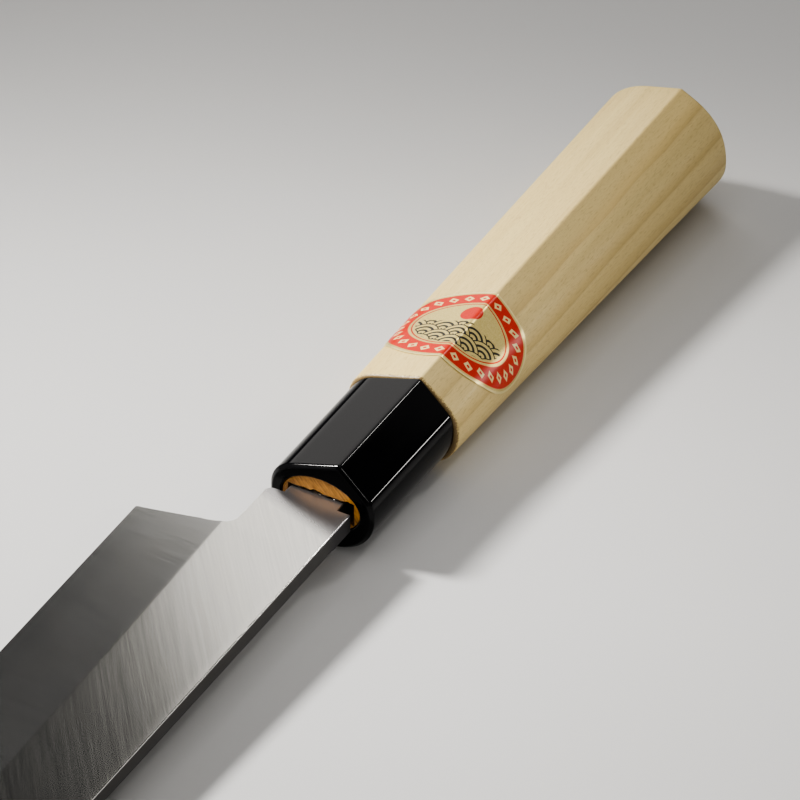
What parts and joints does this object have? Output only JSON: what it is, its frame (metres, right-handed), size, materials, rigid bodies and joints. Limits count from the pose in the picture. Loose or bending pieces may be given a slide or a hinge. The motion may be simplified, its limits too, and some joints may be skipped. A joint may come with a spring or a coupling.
{
  "type": "sashimi knife",
  "caption": "Long slender single-bevel slicing knife with a hollow-ground back, a black ferrule and a pale wooden handle of chestnut section with an oval label.",
  "frame": {"origin": "under the middle of the knife's box, at the height of the handle's belly", "axes": "+X from the tip to the butt, +Y from the spine to the cutting edge, +Z out of the bevelled face"},
  "size_m": [0.42, 0.0434, 0.0237],
  "materials": {
    "cladding_steel": "fine satin lines across the blade, plain grey bevel",
    "hard_steel": "ground and honed",
    "pale_wood": "smooth, unvarnished, fine straight grain",
    "black_plastic": "polished",
    "adhesive": "hardened, half gloss",
    "label_paper": "red and gold print on coated paper"
  },
  "bodies": {
    "root": {"blade": "cladding_steel", "edge_steel": "hard_steel", "handle": "pale_wood", "ferrule": "black_plastic", "tang_adhesive": "adhesive", "label": "label_paper"}
  },
  "joints": []
}
